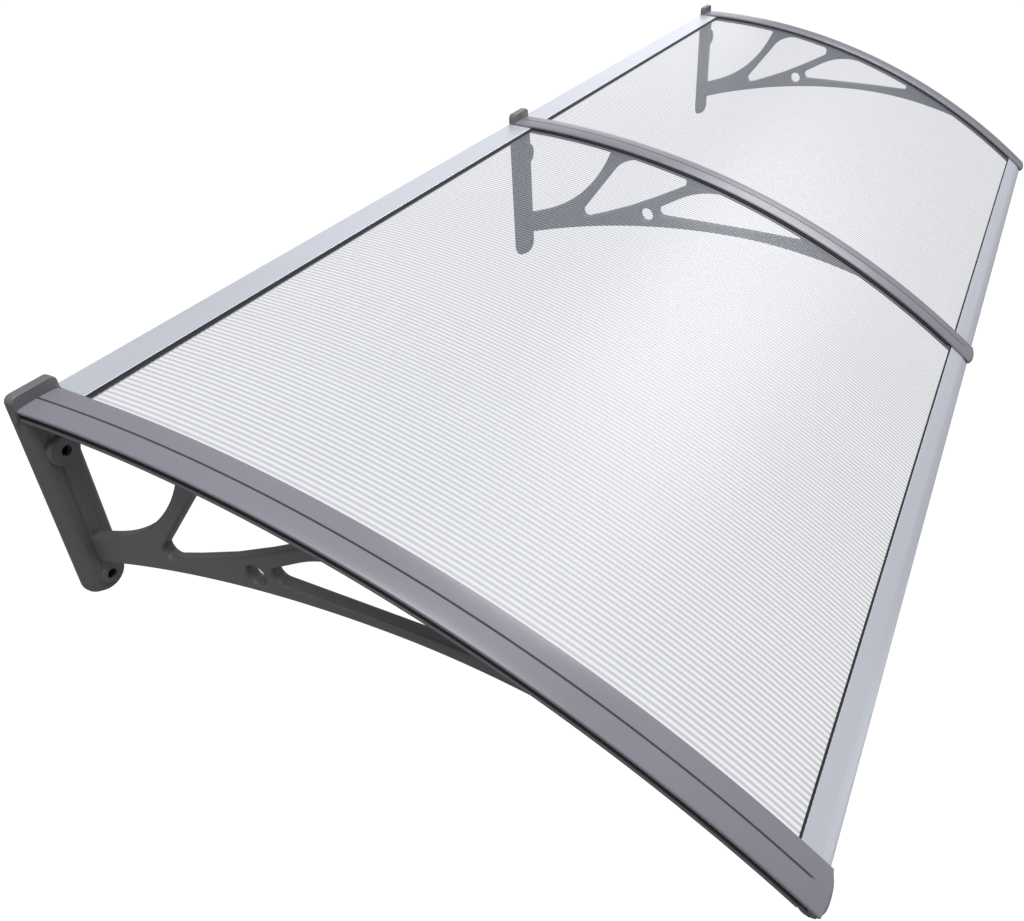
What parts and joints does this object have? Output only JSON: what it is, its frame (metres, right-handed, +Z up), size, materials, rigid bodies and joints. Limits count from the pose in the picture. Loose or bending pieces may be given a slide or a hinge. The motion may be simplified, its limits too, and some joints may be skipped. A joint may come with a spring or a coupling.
{
  "type": "door canopy",
  "caption": "Wall-mounted door canopy with bent twin-wall sheets held by slotted arched brackets, cover strips, edge rails and seals.",
  "frame": {"origin": "on the wall face of the middle bracket, halfway between its two screw holes", "axes": "+X along the wall, to the right when one faces the wall; +Y into the wall; +Z up, so the canopy stands out towards -Y"},
  "size_m": [1.9812, 0.81, 0.2969],
  "materials": {
    "bracket_plastic": "dark grey moulded plastic, satin",
    "cover_plastic": "mid grey plastic, satin",
    "twin_wall_sheet": "clear twin-wall polycarbonate with fine flutes",
    "satin_aluminium": "satin anodised",
    "black_rubber": "matt black"
  },
  "bodies": {
    "root": {"bracket_left": "bracket_plastic", "cover_strip_left": "cover_plastic", "bracket_middle": "bracket_plastic", "cover_strip_middle": "cover_plastic", "bracket_right": "bracket_plastic", "cover_strip_right": "cover_plastic", "sheet_left": "twin_wall_sheet", "wall_rail_left": "satin_aluminium", "front_rail_left": "satin_aluminium", "wall_seal_left": "black_rubber", "front_seal_left": "black_rubber", "edge_seal_left_start": "black_rubber", "edge_seal_left_end": "black_rubber", "sheet_right": "twin_wall_sheet", "wall_rail_right": "satin_aluminium", "front_rail_right": "satin_aluminium", "wall_seal_right": "black_rubber", "front_seal_right": "black_rubber", "edge_seal_right_start": "black_rubber", "edge_seal_right_end": "black_rubber"}
  },
  "joints": []
}
